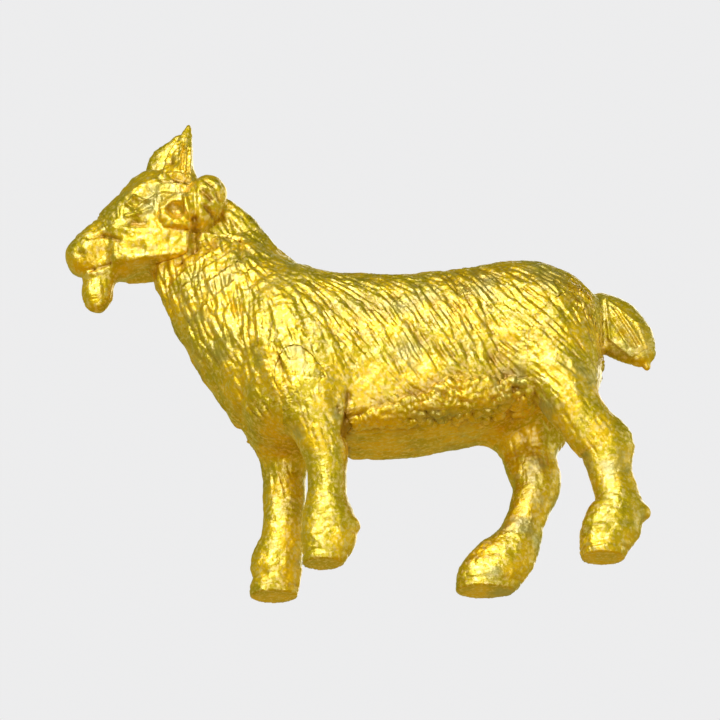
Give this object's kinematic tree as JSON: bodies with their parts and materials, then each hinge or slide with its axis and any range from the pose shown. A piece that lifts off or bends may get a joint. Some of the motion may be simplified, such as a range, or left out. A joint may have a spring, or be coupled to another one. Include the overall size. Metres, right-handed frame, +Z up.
{
  "type": "goat figurine",
  "caption": "Small gilded standing goat with horns, swept-back ears, a chin beard, carved coat and a short raised tail.",
  "frame": {"origin": "on the ground plane through the four soles, under the middle of the overall length and width", "axes": "+Z up, +X from the nose towards the tail, +Y towards the goat's right side"},
  "size_m": [0.05, 0.0124, 0.0421],
  "materials": {
    "gilded_coat": "moulded plastic under sprayed metallic gold paint",
    "gilded_head": "moulded plastic under sprayed metallic gold paint, thin at the muzzle",
    "gilded_horn": "moulded plastic under sprayed metallic gold paint",
    "gilded_leg": "moulded plastic under sprayed metallic gold paint, worn at the hoof rims"
  },
  "bodies": {
    "root": {"left_body_shell": "gilded_coat", "right_body_shell": "gilded_coat", "head": "gilded_head", "left_horn": "gilded_horn", "right_horn": "gilded_horn", "left_ear": "gilded_head", "right_ear": "gilded_head", "left_foreleg": "gilded_leg", "right_foreleg": "gilded_leg", "left_hind_leg": "gilded_leg", "right_hind_leg": "gilded_leg", "tail": "gilded_coat"}
  },
  "joints": []
}
